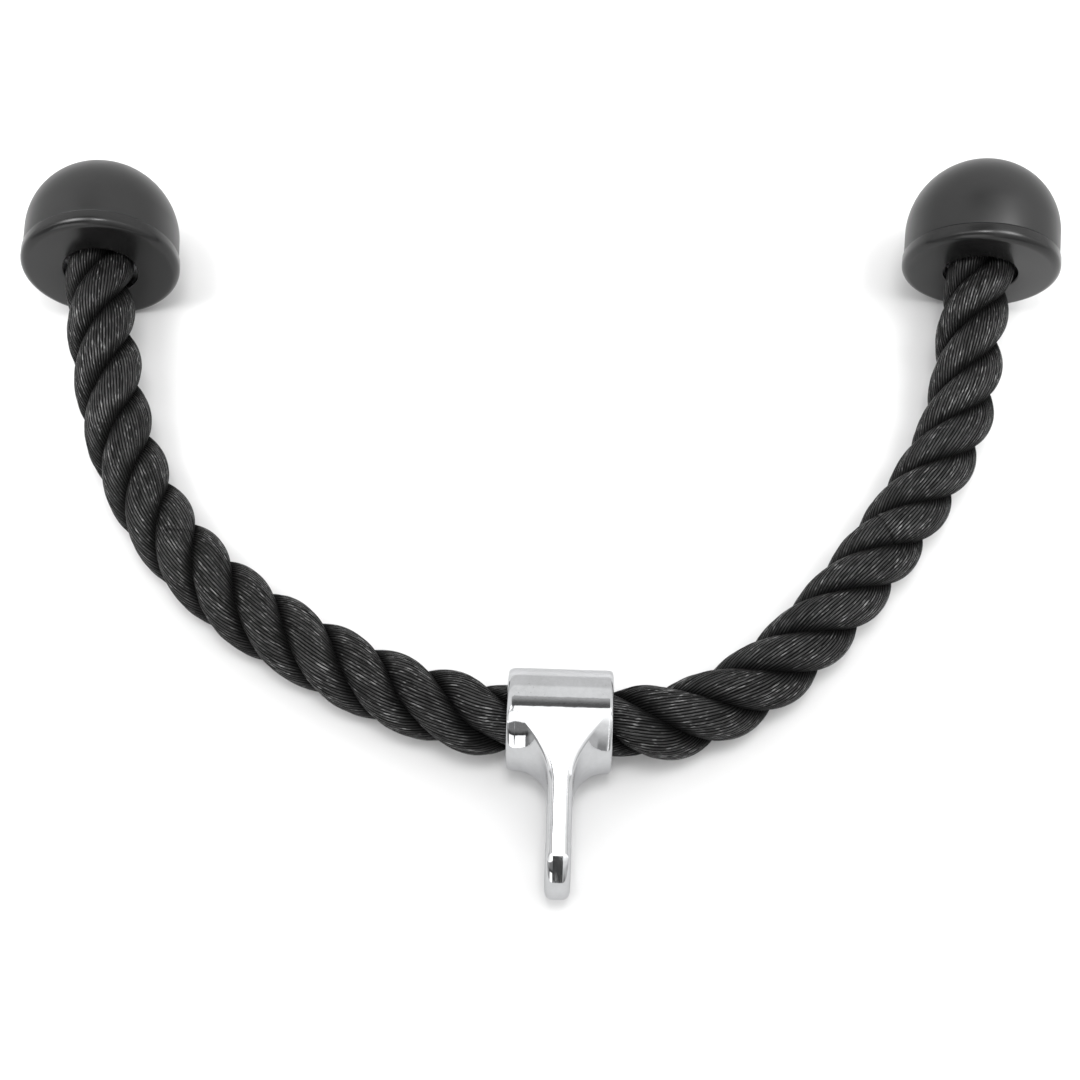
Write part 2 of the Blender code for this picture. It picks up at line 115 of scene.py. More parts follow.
# Connector
BORE_RADIUS = 0.0135
SLEEVE_RADIUS = 0.0203
SLEEVE_EDGE_RADIUS = 0.0015
MOUTH_RADIUS = 0.0025
EYE_DISTANCE = 0.0546
EYE_OUTER_RADIUS = 0.0155
EYE_HOLE_RADIUS = 0.0100
EYE_SIDE_OFFSET = 0.0009
PLATE_THICKNESS = 0.0096
PLATE_EDGE_RADIUS = 0.0029
NECK_FILLET_RADIUS = 0.0133
NECK_END = -0.0360
NECK_COLUMNS = 48
FILLET_STEPS = 28
FLAT_STEPS = 4
NOSE_STEPS = 72
SIDE_STEPS = 10
CHEEK_STEPS = 4
EDGE_STEPS = 8
WALL_STEPS = 12
BACK_STEPS = 96
MIRROR = [1, 1, -1]

# End stops
STOP_RADIUS = 0.03505
RIM_EDGE_RADIUS = 0.0037
HOLE_RADIUS = 0.0163
HOLE_EDGE_RADIUS = 0.0010
SPIGOT_WALL = 0.0024
SPIGOT_LENGTH = 0.0065
DOME_STEP = 0.0006
DOME_WALL = 0.0028
DOME_EDGE_RADIUS = 0.0004
SKIRT_LENGTH = 0.0128
SEAT_WALL = 0.0028
FERRULE_RADIUS = 0.0178
FERRULE_DEPTH = 0.0246
FIT_GAP = 0.0003
TURN_STEPS = 192
RIM_STEPS = 12
LIP_STEPS = 8
SMALL_EDGE_STEPS = 4
DOME_STEPS = 48
POLE_STEPS = 12
SKIRT_STEPS = 16
SHARP_ANGLE = math.radians(30)

# Points nearer than this become one. The shift keeps round sizes off the edge of rounding
WELD_DISTANCE = 0.000001
WELD_SHIFT = 0.37

# Rope's look. A grain is a noise's number of patches across a yarn and along a metre. A range is
# where a mask starts and where it is full, here and below
YARN_BLACK = 0.001
YARN_GREY = 0.034
# Grey of the painted glints of light on the strands' crowns
GLINT_GREY = 0.230
FIBRE_GRAIN = (3.2, 230)
SPECK_GRAIN = (2.3, 420)
PATCH_GRAIN = (0.22, 55)
FIBRE_SHIFT = 40
SPECK_SHIFT = 70
SPECK_DEPTH = 9
# Where the painted shade in the grooves between yarns starts and is full
VALLEY_RANGE = (0.35, 0.88)
FIBRE_RANGE = (0.28, 0.74)
SPECK_RANGE = (0.54, 0.70)
PATCH_RANGE = (0.30, 0.62)
# Where each strand's crown starts and is full in painted light; the flanks keep FLANK_SHADE, a
# painted shade
CROWN_LIGHT_RANGE = (0.10, 0.95)
FIBRE_SHARE = 0.7
FLANK_SHADE = 0.25
YARN_ROUGHNESS = 0.60
GLINT_POLISH = 0.14
VALLEY_ROUGHENING = 0.3
LEAST_COAT = 0.06
MOST_COAT = 0.80
ROUND_SHARE = 0.6
YARN_BUMP = 0.00030

# Chrome's look
CHROME_EDGE_TINT = (0.75, 0.75, 0.76, 1.0)
CHROME_BRIGHT = (0.53, 0.535, 0.545, 1.0)
CHROME_DULL = (0.47, 0.475, 0.48, 1.0)
PIT_GREY = 0.18
PIT_SHARE = 0.5
PIT_SCALE = 700.0
PIT_RANGE = (0.16, 0.07)
PITTED_RANGE = (0.5, 0.62)
HAZE_SCALE = 90.0
HAZE_RANGE = (0.35, 0.75)
HAZE_SHARE = 0.6
MOTTLE_SCALE = 520.0
CHROME_ROUGHNESS = 0.04
HAZE_ROUGHENING = 0.03
ROUGH_HAZE_RANGE = (0.4, 0.8)
RIPPLE_SCALE = 240.0
RIPPLE_GRAIN_SCALE = 1600.0
RIPPLE_GRAIN_SHARE = 0.25
RIPPLE_BUMP = 0.00006

# Looks of the stops' two mouldings, and of the steel inside
DOME_GREY = 0.012
DOME_ROUGHNESS = 0.34
PLATE_GREY = 0.008
PLATE_ROUGHNESS = 0.21
MOULD_GRAIN_SCALE = 2600.0
MOULD_GRAIN_ROUGHENING = 0.10
MOULD_BUMP = 0.00002
FLOW_SCALE = 60.0
FLOW_TONE = 0.07
FLOW_ROUGHENING = 0.05
ROUGH_FLOW_RANGE = (0.3, 0.8)
RUB_SCALE = 420.0
RUB_RANGE = (0.09, 0.05)
RUB_SHARE = 0.25
RUB_TONE = 2.2
ZINC_DARK = (0.60, 0.61, 0.63, 1.0)
ZINC_PALE = (0.70, 0.70, 0.71, 1.0)
ZINC_MOTTLE_SCALE = 180.0
ZINC_GRAIN_SCALE = 3000.0
ZINC_ROUGHNESS = 0.28
ZINC_ROUGHENING = 0.15
ZINC_BUMP = 0.00003
MIDDLE_RANGE = (0.3, 0.7)
BUMP_STRENGTH = 0.4
MOULD_BUMP_STRENGTH = 0.35

# Camera and floor
CAMERA_TARGET = (-0.00078, -0.00555, 0.0)
CAMERA_DISTANCE = 0.679
CAMERA_ELEVATION = math.radians(60)
FILM_WIDTH_MM = 36
LENS_MM = 52
FLOOR_SIZE = 12.0
FLOOR_GREY = 0.74
FLOOR_ROUGHNESS = 0.9

# Lamps: name, place, target, size, power in watts, whether reflections show it, and spread
BOX_SPREAD = math.radians(40)
LAMPS = [
    ("overhead", (0.05, 0.20, 1.6), (0, 0, 0), 2.6, 6.5, False, math.pi),
    ("middle_box", (0, -0.20, 1.25), (0, -0.12, 0), 0.30, 4.0, True, math.pi),
    ("left_box", (-0.395, 0.03, 0.51), (-0.20, 0.11, 0.06), 0.30, 0.16, True, BOX_SPREAD),
    ("right_box", (0.41, 0.03, 0.506), (0.20, 0.11, 0.06), 0.30, 0.16, True, BOX_SPREAD),
]

# What the chrome mirrors, in degrees of turn and swing as add_surroundings gives them. Two numbers
# are where something starts and is full. Three are its two ends and half the width of its soft edge
WALL_LEVEL = 1.25
REAR_TURN, REAR_SHARE = (-92, -58, 4), 0.28
FRONT_TURN, FRONT_RISE = (-7, -5), 1.2
TOP_FRONT, TOP_REAR = (8, 3), (-9, -6)
TOP_NEAR_RIGHT, TOP_NEAR_RIGHT_SHARE = (5, 12), 0.28
TOP_FAR_RIGHT, TOP_FAR_RIGHT_SHARE = (12, 70), 0.36
TOP_LEFT, TOP_LEFT_SHARE = (-4, -7), 0.64
TOP_FAR_LEFT, TOP_FAR_LEFT_LESS = (-9, -60), 0.16
SLOT_TURN, SLOT_SWING = (-30, -7, 0.8), (-24, 6, 3)
SLOT_RAGGED = 6
SLOT_SHARE = 0.48
SLOT_DEEPER, SLOT_DEEPER_SHARE = (-30, -13), 0.42
SLOT_SPECK, SLOT_SPECK_SHARE = (0.5, 0.75), 0.30
LEFT_SWING, LEFT_TURN, LEFT_SHARE = (-44, -54), (30, 26), 0.46
RIGHT_SWING = (0, 4)
RIGHT_HIGH, RIGHT_HIGH_SHARE = (2, 34), 0.48
RIGHT_LOW, RIGHT_LOW_SHARE = (36, 62), 0.20
RIGHT_FLOOR_SWING, RIGHT_FLOOR_TURN, RIGHT_FLOOR_SHARE = (6, 33, 4), (58, 82), 0.5
SHADE_TURN, SHADE_SWING, SHADE_SHARE = (27, 30), (-1.5, -4), 0.82
SHADE_LEAN, SHADE_CLOUD, SHADE_CLOUD_SHARE = 0.10, 4, 0.10
SHADE_DEEP_TURN, SHADE_DEEP_SHARE = (52, 64, 5), 0.10
SHADE_END_SWING, SHADE_END_LESS = (-44, -56), 0.12
CAMERA_TURN, CAMERA_SWING, CAMERA_SHARE = (11, 14), (-2.7, 0.4, 0.3), 0.965
WINDOW_TURN, WINDOW_SWING = (60, 91, 1.2), (-46, -14, 1.2)
WINDOW_LEAN, WINDOW_LEVEL = 0.12, 2.4
CLOUD_SCALE = 14
RAGGED_SCALE = (420, 0.25)
SLOT_SPECK_SCALE = (700, 90)


# Shader wires


class Wire:
    """A socket of a shader tree. Arithmetic on it adds Math nodes, and node() adds any other."""

    def __init__(self, tree, socket=None):
        self.tree = tree
        self.socket = socket

    def node(self, kind, inputs=None, output=0, **settings):
        """A new node: its settings first, then a value or a wire for each of its sockets."""
        made = self.tree.nodes.new("ShaderNode" + kind)
        for name, value in settings.items():
            setattr(made, name, value)
        for name, value in (inputs or {}).items():
            if isinstance(value, Wire):
                self.tree.links.new(value.socket, made.inputs[name])
            else:
                made.inputs[name].default_value = value
        return Wire(self.tree, made.outputs[output])

    def math(self, operation, *values):
        return self.node("Math", dict(enumerate(values)), operation=operation)

    def __add__(self, other):
        return self.math("ADD", self, other)

    def __radd__(self, other):
        return self.math("ADD", other, self)

    def __sub__(self, other):
        return self.math("SUBTRACT", self, other)

    def __rsub__(self, other):
        return self.math("SUBTRACT", other, self)

    def __mul__(self, other):
        return self.math("MULTIPLY", self, other)

    def __rmul__(self, other):
        return self.math("MULTIPLY", other, self)

    def fraction(self):
        return self.math("FRACT", self)

    def floor(self):
        return self.math("FLOOR", self)

    def size(self):
        return self.math("ABSOLUTE", self)

    def ease(self, low, high):
        """0 below low, 1 above high, and smooth between. It falls instead if low is above high."""
        inputs = {"Value": self, "From Min": low, "From Max": high}
        return self.node("MapRange", inputs, interpolation_type="SMOOTHSTEP")

    def mix(self, first, second):
        """A colour between two, by this wire as the share of the second."""
        inputs = {0: self, 6: first, 7: second}
        return self.node("Mix", inputs, output=2, data_type="RGBA")

    def parts(self):
        """The three parts of a vector."""
        split = self.node("SeparateXYZ", {0: self})
        made = split.socket.node
        return [Wire(self.tree, made.outputs[i]) for i in range(3)]

    def vector(self, *values):
        return self.node("CombineXYZ", dict(enumerate(values)))

    def noise(self, place, scale, detail=2.0, roughness=0.5):
        inputs = {"Vector": place, "Scale": scale, "Detail": detail, "Roughness": roughness}
        return self.node("TexNoise", inputs)

    def bump(self, height, distance, strength=1.0):
        inputs = {"Height": height, "Distance": distance, "Strength": strength}
        return self.node("Bump", inputs)


def grey(value):
    return (value, value, value, 1.0)


def new_look(name, constants):
    """A material, a wire to build its nodes from, and its shader, with constants on its sockets."""
    made = bpy.data.materials.new(name)
    made.use_nodes = True
    shader = made.node_tree.nodes["Principled BSDF"]
    for socket, value in constants.items():
        shader.inputs[socket].default_value = value
    return made, Wire(made.node_tree), shader


def feed(shader, **wires):
    """Links wires to the shader's sockets. An underscore in a name stands for a space."""
    for name, wire in wires.items():
        wire.tree.links.new(wire.socket, shader.inputs[name.replace("_", " ")])


def rope_look(middle):
    """Black filament yarns lying side by side, with painted shade between them and painted glints
    of light along their crowns. Each strand's crown is painted lighter and its flanks painted
    darker, as light falls on a round strand, and only the crown has a coat, so the flanks stay
    dull.

    The UV map holds the yarn's number and place across it in U, and metres along the rope in V. A
    strand's crown is where the cosine of the yarn's angle round the strand is one, as in
    strand_surface. Middle is the length along the rope at which that angle starts from zero."""
    constants = {"IOR": 1.5, "Specular IOR Level": 0.05, "Coat Roughness": 0.30, "Coat IOR": 1.5}
    made, start, shader = new_look("rope_yarn", constants)
    yarn, along, _ = start.node("UVMap", uv_map="yarns").parts()
    angle = 2 * math.pi * (yarn * (1 / YARNS) + (along - middle) * (YARN_TURNS / LAY_LENGTH))
    crown = start.math("COSINE", angle)
    beside = (yarn.fraction() - 0.5).size() * 2
    valley = beside.ease(*VALLEY_RANGE)
    each = start.node("TexWhiteNoise", {"W": yarn.floor()}, noise_dimensions="1D")

    def along_yarn(grain, shift=None, depth=0, **settings):
        across, lengthwise = grain
        place = along * lengthwise
        if shift is not None:
            place = place + each * shift
        return start.noise(start.vector(yarn * across, place, depth), 1.0, **settings)

    fibre = along_yarn(FIBRE_GRAIN, FIBRE_SHIFT, detail=3.0, roughness=0.6)
    speck = along_yarn(SPECK_GRAIN, SPECK_SHIFT, each * SPECK_DEPTH, roughness=0.55)
    patch = along_yarn(PATCH_GRAIN)
    # Painted glints: bright specks of highlight put into the colour along the crowns
    glint = speck.ease(*SPECK_RANGE) * (1 - valley) * patch.ease(*PATCH_RANGE)
    shade = fibre.ease(*FIBRE_RANGE) * FIBRE_SHARE + each * (1 - FIBRE_SHARE)
    # Painted light and shade on each strand: its crown lighter and its flanks darker, by the yarn's
    # angle round it
    crown_light = crown.ease(*CROWN_LIGHT_RANGE)
    body = shade * (FLANK_SHADE + crown_light * (1 - FLANK_SHADE))
    body = body.mix(grey(YARN_BLACK), grey(YARN_GREY))
    lit = (glint * crown_light).mix(body, grey(GLINT_GREY))
    # Painted shade: the grooves between yarns go to black
    base = valley.mix(lit, grey(YARN_BLACK))
    rough = YARN_ROUGHNESS - glint * GLINT_POLISH + valley * VALLEY_ROUGHENING
    coat = crown_light * (1 - valley) * (LEAST_COAT + shade * MOST_COAT)
    height = (1 - beside * beside) * ROUND_SHARE + fibre * (1 - ROUND_SHARE)
    normal = start.bump(height, YARN_BUMP)
    feed(shader, Base_Color=base, Roughness=rough, Coat_Weight=coat, Normal=normal)
    return made


def chrome_look():
    """Chrome on a polished casting, faintly rippled, with a mottled haze and small pits in it."""
    constants = {"Metallic": 1.0, "Specular Tint": CHROME_EDGE_TINT}
    made, start, shader = new_look("chrome_casting", constants)
    place = start.node("TexCoord", output="Object")
    ripple = start.noise(place, RIPPLE_SCALE)
    grain = start.noise(place, RIPPLE_GRAIN_SCALE)
    haze = start.noise(place, HAZE_SCALE, detail=3.0)
    mottle = start.noise(place, MOTTLE_SCALE, detail=3.0, roughness=0.6)
    pits = start.node("TexVoronoi", {"Vector": place, "Scale": PIT_SCALE})
    pits = pits.ease(*PIT_RANGE) * haze.ease(*PITTED_RANGE)
    dull = haze.ease(*HAZE_RANGE) * HAZE_SHARE + mottle.ease(*MIDDLE_RANGE) * (1 - HAZE_SHARE)
    tone = dull.mix(CHROME_BRIGHT, CHROME_DULL)
    base = (pits * PIT_SHARE).mix(tone, grey(PIT_GREY))
    rough = CHROME_ROUGHNESS + haze.ease(*ROUGH_HAZE_RANGE) * HAZE_ROUGHENING
    normal = start.bump(ripple + grain * RIPPLE_GRAIN_SHARE, RIPPLE_BUMP, BUMP_STRENGTH)
    feed(shader, Base_Color=base, Roughness=rough, Normal=normal)
    return made


def moulded_look(name, colour, roughness):
    """Satin black plastic: a fine moulded grain, faint flow marks and a few rubbed spots."""
    made, start, shader = new_look(name, {"IOR": 1.42})
    place = start.node("TexCoord", output="Object")
    grain = start.noise(place, MOULD_GRAIN_SCALE)
    flow = start.noise(place, FLOW_SCALE, detail=3.0, roughness=0.6)
    rubbed = start.node("TexVoronoi", {"Vector": place, "Scale": RUB_SCALE}).ease(*RUB_RANGE)
    darker, paler = grey(colour * (1 - FLOW_TONE)), grey(colour * (1 + FLOW_TONE))
    tone = flow.ease(*MIDDLE_RANGE).mix(darker, paler)
    base = (rubbed * RUB_SHARE).mix(tone, grey(colour * RUB_TONE))
    rough = roughness + flow.ease(*ROUGH_FLOW_RANGE) * FLOW_ROUGHENING
    rough = rough + (grain - 0.5) * MOULD_GRAIN_ROUGHENING
    normal = start.bump(grain, MOULD_BUMP, MOULD_BUMP_STRENGTH)
    feed(shader, Base_Color=base, Roughness=rough, Normal=normal)
    return made


def steel_look():
    """Zinc-plated turned steel with fine turning marks and a slightly mottled plating."""
    made, start, shader = new_look("zinc_plated_steel", {"Metallic": 1.0})
    place = start.node("TexCoord", output="Object")
    mottle = start.noise(place, ZINC_MOTTLE_SCALE, detail=3.0)
    grain = start.noise(place, ZINC_GRAIN_SCALE, detail=1.0)
    base = mottle.ease(*MIDDLE_RANGE).mix(ZINC_DARK, ZINC_PALE)
    rough = ZINC_ROUGHNESS + mottle * ZINC_ROUGHENING
    normal = start.bump(grain, ZINC_BUMP, BUMP_STRENGTH)
    feed(shader, Base_Color=base, Roughness=rough, Normal=normal)
    return made


# Surfaces


def grid_faces(rows, columns, first=0, closed=False):
    """Four-cornered faces of a grid of points. Closed joins the last column to the first."""
    index = first + np.arange(rows * columns).reshape(rows, columns)
    right = np.roll(index, -1, axis=1) if closed else index[:, 1:]
    left = index if closed else index[:, :-1]
    corners = [left[:-1], right[:-1], right[1:], left[1:]]
    return np.stack([corner.ravel() for corner in corners], axis=1)


def add_surface(name, points, faces, look, flat=None, uv=None, normals=None):
    """An object from points and four-cornered faces. Points at the same place become one, and a
    face that thereby loses a corner becomes a triangle. Flat marks faces with flat shading, and uv
    and normals follow the corners and the points."""
    key = np.round(points / WELD_DISTANCE + WELD_SHIFT).astype(np.int64)
    _, kept, index = np.unique(key, axis=0, return_index=True, return_inverse=True)
    welded = index.reshape(-1)[faces]
    same = welded == np.roll(welded, -1, axis=1)
    lost = same.sum(axis=1)
    whole, cut = lost == 0, lost == 1
    corners = np.concatenate([welded[whole].ravel(), welded[cut][~same[cut]]])
    starts = np.concatenate(
        [np.arange(whole.sum()) * 4, whole.sum() * 4 + np.arange(cut.sum()) * 3]
    )
    mesh = bpy.data.meshes.new(name)
    mesh.vertices.add(len(kept))
    mesh.vertices.foreach_set("co", points[kept].astype(np.float32).ravel())
    mesh.loops.add(len(corners))
    mesh.loops.foreach_set("vertex_index", corners.astype(np.int32))
    mesh.polygons.add(len(starts))
    mesh.polygons.foreach_set("loop_start", starts.astype(np.int32))
    smooth = np.ones(len(starts), bool)
    if flat is not None:
        smooth = ~np.concatenate([flat[whole], flat[cut]])
    mesh.polygons.foreach_set("use_smooth", smooth)
    mesh.update(calc_edges=True)
    if uv is not None:
        layer = mesh.uv_layers.new(name="yarns")
        values = np.concatenate([uv[whole].reshape(-1, 2), uv[cut][~same[cut]]])
        layer.data.foreach_set("uv", values.astype(np.float32).ravel())
    if normals is not None:
        mesh.normals_split_custom_set_from_vertices(normals[kept].astype(np.float32))
    mesh.materials.append(look)
    made = bpy.data.objects.new(name, mesh)
    bpy.context.scene.collection.objects.link(made)
    return made


# Rope


def clamped_curve(points, first_way, last_way):
    """A smooth cubic curve through points, by chord length, leaving and arriving along two ways.

    Its slopes solve the usual condition that the bending matches on both sides of each point.
    Returns points LINE_STEP apart."""
    points = np.array(points)
    chord = np.linalg.norm(np.diff(points, axis=0), axis=1)
    rise = np.diff(points, axis=0) / chord[:, None]
    count = len(points)
    matrix = np.eye(count)
    right = np.zeros((count, 3))
    right[0] = first_way
    right[-1] = last_way
    for i in range(1, count - 1):
        before, after = chord[i - 1], chord[i]
        matrix[i, i - 1 : i + 2] = after, 2 * (before + after), before
        right[i] = 3 * (after * rise[i - 1] + before * rise[i])
    slope = np.linalg.solve(matrix, right)
    knots = np.concatenate([[0], np.cumsum(chord)])
    where = np.linspace(0, knots[-1], int(knots[-1] / LINE_STEP) + 1)
    i = np.clip(np.searchsorted(knots, where, side="right") - 1, 0, count - 2)
    t = ((where - knots[i]) / chord[i])[:, None]
    span = chord[i][:, None]
    return (
        (2 * t**3 - 3 * t**2 + 1) * points[i]
        + (t**3 - 2 * t**2 + t) * span * slope[i]
        + (3 * t**2 - 2 * t**3) * points[i + 1]
        + (t**3 - t**2) * span * slope[i + 1]
    )


def stop_way(yaw, pitch):
    """The way out of an end stop's face: -Y, turned by yaw about Z and tipped down by pitch."""
    level = math.cos(pitch)
    return np.array([math.sin(yaw) * level, -math.cos(yaw) * level, -math.sin(pitch)])


def straight(start, end):
    """Points LINE_STEP apart on a straight line, without its end."""
    length = np.linalg.norm(end - start)
    share = np.arange(0, 1, LINE_STEP / length)[:, None]
    return start + (end - start) * share


def eased(share):
    """1 where share is under 0, 0 where it is over 1, and smooth between."""
    share = np.clip(share, 0, 1)
    return 1 - share * share * (3 - 2 * share)


class RopeLine:
    """The rope's centre line from its left end to its right end, by length along it."""

    def __init__(self):
        left, right = np.array(LEFT_ARM), np.array(RIGHT_ARM)
        across = (right[0] - left[0]) / np.linalg.norm(right[0] - left[0])
        self.left_way = stop_way(LEFT_STOP_YAW, LEFT_STOP_PITCH)
        self.right_way = stop_way(RIGHT_STOP_YAW, RIGHT_STOP_PITCH)
        left_end = left[-1] - self.left_way * ROPE_END_DEPTH
        right_end = right[-1] - self.right_way * ROPE_END_DEPTH
        left_curve = clamped_curve(left[::-1], self.left_way, across)
        right_curve = clamped_curve(right, across, -self.right_way)
        pieces = [
            straight(left_end, left[-1]),
            left_curve[:-1],
            straight(left[0], right[0]),
            right_curve,
            straight(right[-1], right_end)[1:],
            [right_end],
        ]
        self.points = np.concatenate(pieces)
        steps = np.linalg.norm(np.diff(self.points, axis=0), axis=1)
        self.along = np.concatenate([[0], np.cumsum(steps)])
        self.length = self.along[-1]
        self.centre = (left[0] + right[0]) / 2
        self.across = across
        first = sum(len(piece) for piece in pieces[:2])
        self.middle = self.along[first] + np.linalg.norm(self.centre - left[0])
        self.left_mouth = self.middle - SLEEVE_LENGTH / 2
        self.right_mouth = self.middle + SLEEVE_LENGTH / 2

    def read(self, where):
        columns = [np.interp(where, self.along, column) for column in self.points.T]
        return np.stack(columns, axis=1)

    def frame(self, where):
        """Points, level side ways and upward ways at lengths along the line."""
        inside = np.clip(where, LINE_STEP, self.length - LINE_STEP)
        tangent = self.read(inside + LINE_STEP) - self.read(inside - LINE_STEP)
        tangent /= np.linalg.norm(tangent, axis=1)[:, None]
        side = np.cross([0, 0, 1], tangent)
        side /= np.linalg.norm(side, axis=1)[:, None]
        return self.read(where), side, np.cross(tangent, side)

    def thickness(self, where):
        """The rope's girth as a share of its free girth: less in the sleeve and in the ferrules."""
        sleeve = np.abs(where - self.middle) - SLEEVE_LENGTH / 2
        end = np.minimum(where, self.length - where)
        ferrule = end - (ROPE_END_DEPTH - PLATE_DEPTH)
        return 1 - (
            (1 - SLEEVE_GRIP_SHARE) * eased(sleeve / PINCH_LENGTH)
            + (1 - FERRULE_GRIP_SHARE) * eased(ferrule / PLATE_DEPTH)
        )


def strand_centre(line, where, number):
    """The centre of a strand, which winds right-handed round the rope's line, and its way out."""
    point, side, up = line.frame(where)
    wound = where - line.middle - LAY_OFFSET
    turn = 2 * math.pi * (wound / LAY_LENGTH + number / 3)
    out = np.cos(turn)[:, None] * side + np.sin(turn)[:, None] * up
    reach = STRAND_REACH * line.thickness(where)
    return point + reach[:, None] * out, out


def strand_surface(line, start, end, number):
    """Points and UV of one strand: a ring for each place along the rope, and a column for each part
    of a yarn.

    A ring is an ellipse, wider towards its neighbours than outwards. The columns turn back against
    the lay, so that on the crown the yarns lie along the rope. Each yarn adds a rounded ridge, one
    minus the square of the distance from its middle, and swells a little along its length by a sine
    of its own. The first and last rings are repeated at no size, which closes the ends."""
    rings = math.ceil((end - start) / RING_STEP) + 1
    where = np.linspace(start, end, rings)
    centre, out = strand_centre(line, where, number)
    ahead = np.minimum(where + LINE_STEP, line.length)
    behind = np.maximum(where - LINE_STEP, 0)
    way = strand_centre(line, ahead, number)[0] - strand_centre(line, behind, number)[0]
    way /= np.linalg.norm(way, axis=1)[:, None]
    out -= (out * way).sum(axis=1)[:, None] * way
    out /= np.linalg.norm(out, axis=1)[:, None]
    beside = np.cross(way, out)

    u = np.arange(YARNS * COLUMNS_PER_YARN) / COLUMNS_PER_YARN
    turned = YARN_TURNS * (where - line.middle) / LAY_LENGTH
    angle = 2 * math.pi * (u[None, :] / YARNS + turned[:, None])
    own = np.random.default_rng(number)
    phase = own.uniform(0, 2 * math.pi, YARNS)[u.astype(int)]
    wave = own.uniform(*SWELL_LENGTHS, YARNS)[u.astype(int)]
    ridge = 1 - (2 * (u % 1) - 1) ** 2
    swell = np.sin(2 * math.pi * where[:, None] / wave[None, :] + phase[None, :])
    lift = ridge[None, :] * (YARN_RIDGE + YARN_SWELL * swell)
    girth = line.thickness(where)[:, None]
    high = np.cos(angle) * (STRAND_HEIGHT * girth + lift)
    wide = np.sin(angle) * (STRAND_WIDTH * girth + lift)
    rim = high[..., None] * out[:, None, :] + wide[..., None] * beside[:, None, :]
    size = np.ones(rings + 2)
    size[[0, -1]] = 0
    taken = np.clip(np.arange(-1, rings + 1), 0, rings - 1)
    points = centre[taken][:, None, :] + rim[taken] * size[:, None, None]

    across = np.arange(YARNS * COLUMNS_PER_YARN + 1) / COLUMNS_PER_YARN + number * YARNS
    uv = np.stack(np.broadcast_arrays(across[None, :], where[taken][:, None]), axis=-1)
    return points, uv


def add_rope_piece(name, line, start, end, look):
    """A stretch of the rope: its three strands side by side in one mesh."""
    points, faces, flat, corners = [], [], [], []
    count = 0
    for number in range(3):
        grid, uv = strand_surface(line, start, end, number)
        rows, columns = grid.shape[:2]
        faces.append(grid_faces(rows, columns, count, closed=True))
        edge = np.zeros((rows - 1, columns), bool)
        edge[[0, -1]] = True
        flat.append(edge.ravel())
        parts = [uv[:-1, :-1], uv[:-1, 1:], uv[1:, 1:], uv[1:, :-1]]
        corners.append(np.stack([part.reshape(-1, 2) for part in parts], axis=1))
        points.append(grid.reshape(-1, 3))
        count += rows * columns
    return add_surface(
        name,
        np.concatenate(points),
        np.concatenate(faces),
        look,
        flat=np.concatenate(flat),
        uv=np.concatenate(corners),
    )


def strand_nodes(*stretches):
    return [f"rope_strand_{n + 1}_{stretch}" for stretch in stretches for n in range(3)]


def add_rope(line, look):
    """Four stretches of one rope: each arm's inner one runs from inside the sleeve out along the
    arm, and its outer one on to the rope's end. The cuts lie inside the sleeve and just before the
    middle bends."""
    quarter = line.length / 4
    for side, sign, end in (("left", -1, 0.0), ("right", 1, line.length)):
        mouth = line.left_mouth if sign < 0 else line.right_mouth
        inner_start = 2 * quarter
        inner_end = inner_start + sign * quarter
        middle = mouth + sign * (MIDDLE_BEND_DISTANCE + MIDDLE_BEND_LENGTH / 2)
        stretches = (
            ("inner", inner_start, inner_end, ("root", "inner_arm"), mouth, BEND_REACH),
            ("outer", inner_end, end, ("inner_arm", "outer_arm"), middle, MIDDLE_BEND_REACH),
        )
        for part, first, last, bodies, pivot, reach in stretches:
            name = f"rope_{side}_{part}"
            low, high = sorted((first, last))
            piece = add_rope_piece(name, line, low, high, look)
            near, far = [b if b == "root" else f"{side}_{b}" for b in bodies]
            ends = line.read(np.array([pivot, pivot + sign * reach]))
            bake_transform(piece)
            route = line.read(np.linspace(first, last, ROUTE_POINTS))
            if part == "inner":
                nodes = strand_nodes("centre", f"{side}_inner_arm")
            else:
                nodes = strand_nodes(f"{side}_arm_bend", f"{side}_outer_arm")
            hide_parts(*nodes)


# Turned pieces


def arc(centre, radius, first, last, steps):
    """Points (distance from axis, height) on an arc, from one angle to another in degrees."""
    angle = np.radians(np.linspace(first, last, steps + 1))
    return np.stack([centre[0] + radius * np.cos(angle), centre[1] + radius * np.sin(angle)], 1)


def frame_at(point, way):
    """A place and its three ways: Z along a way, X level."""
    z = np.array(way) / np.linalg.norm(way)
    x = np.cross([0, 0, 1], z)
    x /= np.linalg.norm(x)
    return np.array(point), np.stack([x, np.cross(z, x), z])


def turned_grid(outline):
    """An outline of (distance from axis, height) carried round local Z, as rows of points."""
    angle = 2 * math.pi * np.arange(TURN_STEPS) / TURN_STEPS
    r, z = outline[:, 0], outline[:, 1]
    x = r[:, None] * np.cos(angle)
    y = r[:, None] * np.sin(angle)
    return np.stack([x, y, np.broadcast_to(z[:, None], x.shape)], axis=-1)


def add_turned(name, outline, place, look):
    """A closed turned solid. The outline runs down its outer side and back up its bore or axis."""
    grid = turned_grid(np.concatenate([outline, outline[:1]]))
    rows, columns = grid.shape[:2]
    origin, axes = place
    points = origin + grid.reshape(-1, 3) @ axes
    faces = grid_faces(rows, columns, closed=True)[:, ::-1]
    made = add_surface(name, points, faces, look)
    made.data.set_sharp_from_angle(angle=SHARP_ANGLE)
    return made


